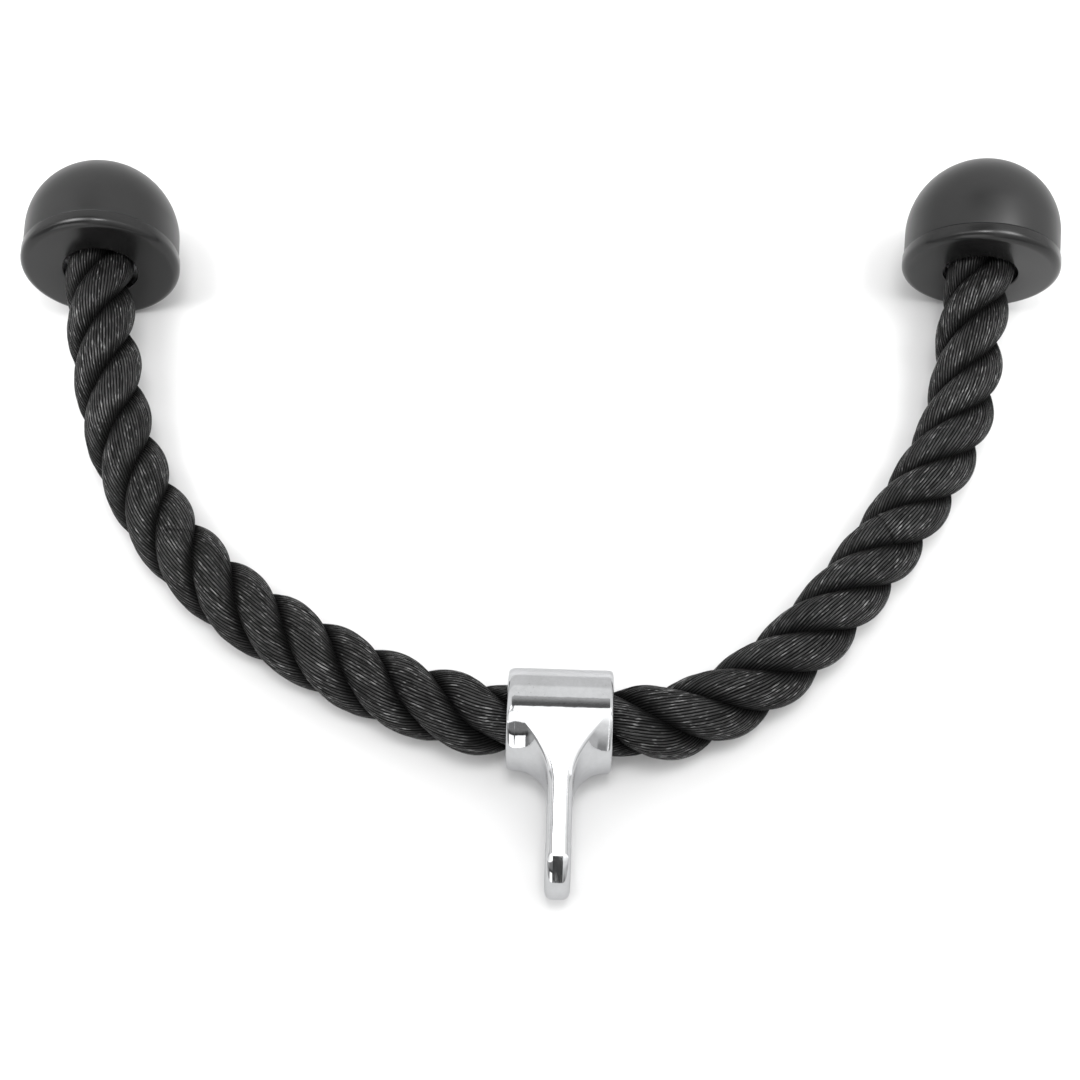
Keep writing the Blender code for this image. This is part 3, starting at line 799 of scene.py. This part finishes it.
def base_plate_outline():
    """The face and its rounded rim, the parting face, the spigot, and the bore with its edge."""
    rim = (STOP_RADIUS - RIM_EDGE_RADIUS, PLATE_DEPTH - RIM_EDGE_RADIUS)
    lip = (HOLE_RADIUS + HOLE_EDGE_RADIUS, PLATE_DEPTH - HOLE_EDGE_RADIUS)
    spigot = STOP_RADIUS - DOME_STEP - DOME_WALL - FIT_GAP
    edge = DOME_EDGE_RADIUS
    return np.concatenate(
        [
            arc(rim, RIM_EDGE_RADIUS, 90, 0, RIM_STEPS),
            arc((STOP_RADIUS - edge, edge), edge, 0, -90, SMALL_EDGE_STEPS),
            [(spigot, 0), (spigot, -SPIGOT_LENGTH)],
            [(spigot - SPIGOT_WALL, -SPIGOT_LENGTH), (spigot - SPIGOT_WALL, 0)],
            [(HOLE_RADIUS, 0)],
            arc(lip, HOLE_EDGE_RADIUS, 180, 90, LIP_STEPS),
        ]
    )


def dome_outline():
    """Down the skirt and round the dome to its pole, then up inside past the ferrule's seat."""
    outer = STOP_RADIUS - DOME_STEP
    inner = outer - DOME_WALL
    edge = DOME_EDGE_RADIUS
    middle = (0, -SKIRT_LENGTH)
    seat = [FERRULE_RADIUS - SEAT_WALL, FERRULE_RADIUS]
    angle = [-math.degrees(math.acos(radius / inner)) for radius in seat]
    top = -FERRULE_DEPTH - FIT_GAP
    return np.concatenate(
        [
            arc((outer - edge, -FIT_GAP - edge), edge, 90, 0, SMALL_EDGE_STEPS),
            arc(middle, outer, 0, -90, DOME_STEPS),
            arc(middle, inner, -90, angle[0], POLE_STEPS),
            [(seat[0], top), (seat[1], top)],
            arc(middle, inner, angle[1], 0, SKIRT_STEPS),
            [(inner, -FIT_GAP)],
        ]
    )


def add_stops(line, dome_look, plate_look):
    """The dome and the base plate of both end stops, each on its own axis."""
    for side, face, way in (
        ("left", LEFT_ARM[-1], line.left_way),
        ("right", RIGHT_ARM[-1], line.right_way),
    ):
        place = frame_at(np.array(face) - way * PLATE_DEPTH, way)
        pieces = (
            ("plate", base_plate_outline(), plate_look, "base_plate", "stop_plate"),
            ("dome", dome_outline(), dome_look, "dome", "stop_dome"),
        )
        for part, outline, look, node, slot in pieces:
            piece = add_turned(f"{side}_stop_{part}", outline, place, look)
            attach(piece, f"{side}_stop")
            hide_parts(f"{side}_{node}")


# Connector


def in_space(plan, height):
    """Plan points with a height each, or a height for each row, as points in space."""
    height = np.broadcast_to(height, plan.shape[:-1])
    return np.concatenate([plan, height[..., None]], axis=-1)


def neck_cheek(lean):
    """The upper cheek from the sleeve to the line x = NECK_END, as points and ways out of the skin.

    Columns fan out from the sleeve's circle and end evenly along that line. Rows keep a distance
    from the sleeve's axis: over the fillet that distance is its reach less its radius times a
    cosine, and the height above the plate is its radius times one less the sine of the same
    angle."""
    sleeve = SLEEVE_RADIUS - PLATE_EDGE_RADIUS
    fillet = NECK_FILLET_RADIUS + PLATE_EDGE_RADIUS
    last = math.pi / 2 - lean
    fan = np.linspace(-last, last, NECK_COLUMNS + 1)
    start = sleeve * np.stack([-np.cos(fan), np.sin(fan)], axis=1)
    side = (sleeve + NECK_END * math.sin(lean)) / math.cos(lean)
    way = np.stack([np.full(len(fan), NECK_END), side * fan / last], axis=1) - start

    lift = np.linspace(0, math.pi / 2, FILLET_STEPS + 1)
    radius = SLEEVE_RADIUS + NECK_FILLET_RADIUS - fillet * np.cos(lift)
    square, along = (way**2).sum(axis=1), (start * way).sum(axis=1)
    past = along**2 + square * (radius[:, None] ** 2 - sleeve**2)
    share = (np.sqrt(np.maximum(past, 0)) - along) / square
    rest = np.linspace(0, 1, FLAT_STEPS + 1)[1:, None]
    share = np.concatenate([share, share[-1] + (1 - share[-1]) * rest])
    lift = np.concatenate([lift, np.full(FLAT_STEPS, math.pi / 2)])[:, None]

    plan = start + share[..., None] * way
    out = plan / np.linalg.norm(plan, axis=-1, keepdims=True) * np.cos(lift)[..., None]
    height = PLATE_THICKNESS / 2 - PLATE_EDGE_RADIUS + fillet * (1 - np.sin(lift))
    return in_space(plan, height), in_space(out, np.sin(lift))


def eye_cheek(lean, corner):
    """The upper cheek round the eye: rays from its outline to the hole, as points, ways out, rays.

    The outline runs up the line x = NECK_END, along the plate's side, round the nose and back."""
    centre = np.array([-EYE_DISTANCE, 0])
    nose = EYE_OUTER_RADIUS - PLATE_EDGE_RADIUS
    last = math.pi / 2 - lean
    line = np.linspace(-last, last, NECK_COLUMNS + 1)[:, None] / last
    line = np.array([1, 0]) * corner + line * (np.array([0, 1]) * corner)
    angle = np.linspace(math.pi - last, math.pi + last, NOSE_STEPS + 1)
    tip = centre + nose * np.stack([np.cos(angle), np.sin(angle)], axis=1)
    share = np.linspace(0, 1, SIDE_STEPS + 1)[1:-1, None]
    side = corner + share * (tip[0] - corner)
    outline = np.concatenate([line, side, tip, side[::-1] * [1, -1], line[:1]])
    ray = outline - centre
    ray /= np.linalg.norm(ray, axis=1)[:, None]
    hole = centre + ray * (EYE_HOLE_RADIUS + PLATE_EDGE_RADIUS)
    share = np.linspace(0, 1, CHEEK_STEPS + 1)[:, None, None]
    plan = outline + share * (hole - outline)
    height = PLATE_THICKNESS / 2 - PLATE_EDGE_RADIUS
    return in_space(plan, height), in_space(0 * plan, 1), in_space(ray, 0)


def edge_strip(point, cheek_way, wall_way):
    """A strip over an edge, down a wall and over the lower edge, as points and ways out.

    Over an edge the way out turns evenly from the cheek's to the wall's, by the sines of the two
    parts of the angle between them. The lower half mirrors the upper one."""
    angle = np.arccos(np.clip((cheek_way * wall_way).sum(axis=1), -1, 1))[None, :, None]
    share = np.linspace(0, 1, EDGE_STEPS + 1)[:, None, None]
    sine = np.maximum(np.sin(angle), WELD_DISTANCE)
    over = np.sin((1 - share) * angle) * cheek_way + np.sin(share * angle) * wall_way
    over = np.where(angle > WELD_DISTANCE, over / sine, wall_way)
    level = np.linspace(1, -1, WALL_STEPS + 1)[1:-1, None, None]
    wall = point * np.concatenate([np.ones_like(level), np.ones_like(level), level], axis=2)
    upper = np.broadcast_to(point, over.shape)
    points = np.concatenate([upper, wall, upper[::-1] * MIRROR])
    ways = np.concatenate([over, np.broadcast_to(wall_way, wall.shape), over[::-1] * MIRROR])
    return points, ways


def sleeve_end(top, end):
    """One end of the sleeve, rounded from the neck's edge by a quarter of an ellipse, and its
    bore's mouth, as (distance from axis, height) and ways out.

    The ellipse's points are a unit circle's times its two sizes, and its ways out are the circle's
    times the same sizes changed over, brought back to unit length."""
    quarter = arc((0, 0), 1, 0, 90, 2 * EDGE_STEPS)
    size = np.array([SLEEVE_EDGE_RADIUS, end - top])
    rim = quarter * size + [SLEEVE_RADIUS - SLEEVE_EDGE_RADIUS, top]
    rim_way = quarter * size[::-1]
    rim_way /= np.linalg.norm(rim_way, axis=1)[:, None]
    mouth = arc((BORE_RADIUS + MOUTH_RADIUS, end - MOUTH_RADIUS), MOUTH_RADIUS, 90, 180, EDGE_STEPS)
    mouth_way = arc((0, 0), 1, 90, 180, EDGE_STEPS)
    return np.concatenate([rim, mouth]), np.concatenate([rim_way, mouth_way])


def connector_grids():
    """The casting's skin in its own frame, as grids of points and ways out. Z is the sleeve's axis,
    and the eye lies at -X.

    A body smaller by the edge radius all round has every point moved out by that radius along its
    way out, so each sharp edge of the small body becomes a round one."""
    lean = math.asin((SLEEVE_RADIUS - EYE_OUTER_RADIUS) / EYE_DISTANCE)
    last = math.pi / 2 - lean
    neck, neck_way = neck_cheek(lean)
    eye, eye_way, ray = eye_cheek(lean, neck[-1, -1, :2])

    rim = slice(NECK_COLUMNS + 1, -1)
    edge = np.concatenate([neck[:, -1], eye[0, rim], neck[::-1, 0]])
    cheek_way = np.concatenate([neck_way[:, -1], eye_way[0, rim], neck_way[::-1, 0]])
    angle = np.linspace(math.pi - last, math.pi + last, NOSE_STEPS + 1)
    sides = len(neck) + SIDE_STEPS - 1
    angle = np.concatenate([np.full(sides, angle[0]), angle, np.full(sides, angle[-1])])
    wall_way = np.stack([np.cos(angle), np.sin(angle), 0 * angle], axis=1)
    wall = edge_strip(edge, cheek_way, wall_way)
    hole = edge_strip(eye[-1], eye_way[-1], -ray)

    back = np.linspace(last, 2 * math.pi - last, BACK_STEPS + 1)
    back_way = np.stack([-np.cos(back), np.sin(back), 0 * back], axis=1)
    level = np.linspace(1, -1, WALL_STEPS + 1)[:, None, None] * neck[0, 0, 2]
    small = SLEEVE_RADIUS - PLATE_EDGE_RADIUS
    back_grid = back_way * small + level * [0, 0, 1]
    eroded = [
        (neck, neck_way),
        (neck * MIRROR, neck_way * MIRROR),
        (eye, eye_way),
        (eye * MIRROR, eye_way * MIRROR),
        wall,
        hole,
        (back_grid, np.broadcast_to(back_way, back_grid.shape)),
    ]
    grids = [(points + PLATE_EDGE_RADIUS * ways, ways) for points, ways in eroded]

    around = np.concatenate([np.linspace(-last, last, NECK_COLUMNS + 1), back[1:]])
    around = np.stack([-np.cos(around), np.sin(around)], axis=1)
    half = SLEEVE_LENGTH / 2
    upper = sleeve_end(neck[0, 0, 2], half - EYE_SIDE_OFFSET)
    lower = sleeve_end(neck[0, 0, 2], half + EYE_SIDE_OFFSET)
    both = [np.concatenate([up, low[::-1] * [1, -1]]) for up, low in zip(upper, lower)]
    ends = [in_space(part[:, None, :1] * around, part[:, 1:]) for part in both]
    return [*grids, ends]


def add_connector(line, look):
    """The sleeve and its eye, one casting, from its grids of skin, each turned to face outwards."""
    points, faces, ways = [], [], []
    count = 0
    for grid, way in connector_grids():
        rows, columns = grid.shape[:2]
        part = grid_faces(rows, columns)
        flat, flat_way = grid.reshape(-1, 3), way.reshape(-1, 3)
        corner = flat[part]
        facing = np.cross(corner[:, 2] - corner[:, 0], corner[:, 3] - corner[:, 1])
        if (facing * flat_way[part].mean(axis=1)).sum() < 0:
            part = part[:, ::-1]
        points.append(flat)
        ways.append(flat_way)
        faces.append(part + count)
        count += len(flat)
    origin, axes = frame_at(line.centre, line.across)
    tilt = math.asin((SLEEVE_RADIUS - EYE_OUTER_RADIUS) / EYE_DISTANCE)
    cos, sin = math.cos(tilt), math.sin(tilt)
    axes = np.array([[cos, sin, 0], [-sin, cos, 0], [0, 0, 1]]) @ axes
    origin = origin + line.across * EYE_SIDE_OFFSET
    made = add_surface(
        "chrome_connector",
        origin + np.concatenate(points) @ axes,
        np.concatenate(faces),
        look,
        normals=np.concatenate(ways) @ axes,
    )
    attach(made, "root")
    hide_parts("connector")


# Studio


def add_floor():
    mesh = bpy.data.meshes.new("studio_floor")
    half = FLOOR_SIZE / 2
    corners = [(-half, -half, 0), (half, -half, 0), (half, half, 0), (-half, half, 0)]
    mesh.from_pydata(corners, [], [(0, 1, 2, 3)])
    constants = {"Base Color": grey(FLOOR_GREY), "Roughness": FLOOR_ROUGHNESS}
    look, _, _ = new_look("studio_floor", constants)
    mesh.materials.append(look)
    floor = bpy.data.objects.new("studio_floor", mesh)
    bpy.context.scene.collection.objects.link(floor)


def add_camera():
    """Looks along +Y and down, as the photograph does."""
    camera = bpy.data.objects.new("camera", bpy.data.cameras.new("camera"))
    back = Vector((0, -math.cos(CAMERA_ELEVATION), math.sin(CAMERA_ELEVATION)))
    camera.location = Vector(CAMERA_TARGET) + back * CAMERA_DISTANCE
    camera.rotation_euler = (math.pi / 2 - CAMERA_ELEVATION, 0, 0)
    camera.data.sensor_width = FILM_WIDTH_MM
    camera.data.lens = LENS_MM
    bpy.context.scene.collection.objects.link(camera)
    bpy.context.scene.camera = camera


def add_lamp(name, place, target, size, power, seen, spread):
    """A soft square lamp that points at a target. If it isn't seen, nothing mirrors it."""
    lamp = bpy.data.objects.new(name, bpy.data.lights.new(name, "AREA"))
    lamp.data.shape = "SQUARE"
    lamp.data.size = size
    lamp.data.energy = power
    lamp.data.spread = spread
    lamp.location = place
    lamp.rotation_euler = (Vector(target) - Vector(place)).to_track_quat("-Z", "Y").to_euler()
    lamp.visible_glossy = seen
    bpy.context.scene.collection.objects.link(lamp)


def add_surroundings():
    """The studio that the chrome mirrors: white boards, a dark slot overhead, the camera's dark
    shape, a window and dim corners in front, and a pale wall behind.

    A direction's turn is its angle from straight up towards the camera's side, and its swing is its
    angle to the right, both in degrees."""
    world = bpy.data.worlds.new("studio")
    world.use_nodes = True
    bpy.context.scene.world = world
    tree = world.node_tree
    tree.nodes.clear()
    start = Wire(tree)
    x, y, z = start.node("TexCoord", output="Generated").parts()
    turn = start.math("ARCTAN2", -1 * y, z) * math.degrees(1)
    swing = start.math("ARCSINE", x) * math.degrees(1)
    place = start.vector(x * CLOUD_SCALE, y * CLOUD_SCALE, z * CLOUD_SCALE)
    cloud = start.noise(place, 1.0, detail=3.0, roughness=0.6)
    place = start.vector(x * RAGGED_SCALE[0], turn * RAGGED_SCALE[1], 0)
    ragged = start.noise(place, 1.0, detail=3.0, roughness=0.7)
    place = start.vector(x * SLOT_SPECK_SCALE[0], y * SLOT_SPECK_SCALE[1], 0)
    speck = start.noise(place, 1.0, roughness=0.6)

    def within(angle, low, high, soft):
        return angle.ease(low - soft, low + soft) * angle.ease(high + soft, high - soft)

    def dimmed(level, mask, share):
        return level * (1 - mask * share)

    level = WALL_LEVEL - within(turn, *REAR_TURN) * REAR_SHARE
    level = level + turn.ease(*FRONT_TURN) * FRONT_RISE

    top_left = TOP_LEFT_SHARE - swing.ease(*TOP_FAR_LEFT) * TOP_FAR_LEFT_LESS
    top = swing.ease(*TOP_NEAR_RIGHT) * TOP_NEAR_RIGHT_SHARE
    top = top + swing.ease(*TOP_FAR_RIGHT) * TOP_FAR_RIGHT_SHARE
    top = top + swing.ease(*TOP_LEFT) * top_left
    level = dimmed(level, turn.ease(*TOP_FRONT) * turn.ease(*TOP_REAR), top)

    slot = within(turn + (ragged - 0.5) * SLOT_RAGGED, *SLOT_TURN) * within(swing, *SLOT_SWING)
    share = SLOT_SHARE + turn.ease(*SLOT_DEEPER) * SLOT_DEEPER_SHARE
    level = dimmed(level, slot, share - speck.ease(*SLOT_SPECK) * SLOT_SPECK_SHARE)

    left = swing.ease(*LEFT_SWING) * turn.ease(*TOP_REAR) * turn.ease(*LEFT_TURN)
    level = dimmed(level, left, LEFT_SHARE)

    right = swing.ease(*RIGHT_SWING)
    share = turn.ease(*RIGHT_HIGH) * RIGHT_HIGH_SHARE + turn.ease(*RIGHT_LOW) * RIGHT_LOW_SHARE
    level = dimmed(level, right, share)
    low_right = right * within(swing, *RIGHT_FLOOR_SWING)
    level = dimmed(level, low_right, turn.ease(*RIGHT_FLOOR_TURN) * RIGHT_FLOOR_SHARE)

    shade = (turn + swing * SHADE_LEAN + cloud * SHADE_CLOUD).ease(*SHADE_TURN)
    shade = shade * swing.ease(*SHADE_SWING)
    share = SHADE_SHARE + within(turn, *SHADE_DEEP_TURN) * SHADE_DEEP_SHARE
    share = share + cloud * SHADE_CLOUD_SHARE - swing.ease(*SHADE_END_SWING) * SHADE_END_LESS
    level = dimmed(level, shade, share)

    camera = turn.ease(*CAMERA_TURN) * within(swing, *CAMERA_SWING)
    level = dimmed(level, camera, CAMERA_SHARE)

    window = within(turn, *WINDOW_TURN) * within(swing - turn * WINDOW_LEAN, *WINDOW_SWING)
    level = level * (1 - window) + window * WINDOW_LEVEL
    background = start.node("Background", {"Color": grey(1), "Strength": level})
    output = tree.nodes.new("ShaderNodeOutputWorld")
    tree.links.new(background.socket, output.inputs["Surface"])


def main():
    line = RopeLine()
    add_camera()
    add_rope(line, rope_look(line.middle))
    add_connector(line, chrome_look())
    dome_look = moulded_look("stop_dome", DOME_GREY, DOME_ROUGHNESS)
    plate_look = moulded_look("stop_plate", PLATE_GREY, PLATE_ROUGHNESS)
    add_stops(line, dome_look, plate_look)
    steel = steel_look()
    for side in ("left", "right"):
        for part in ("ferrule", "thrust_washer"):
            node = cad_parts[f"{side}_{part}"]
            node.data.materials.clear()
            node.data.materials.append(steel)
    add_floor()
    add_surroundings()
    for lamp in LAMPS:
        add_lamp(*lamp)
    bpy.context.scene.view_settings.view_transform = "Standard"


main()
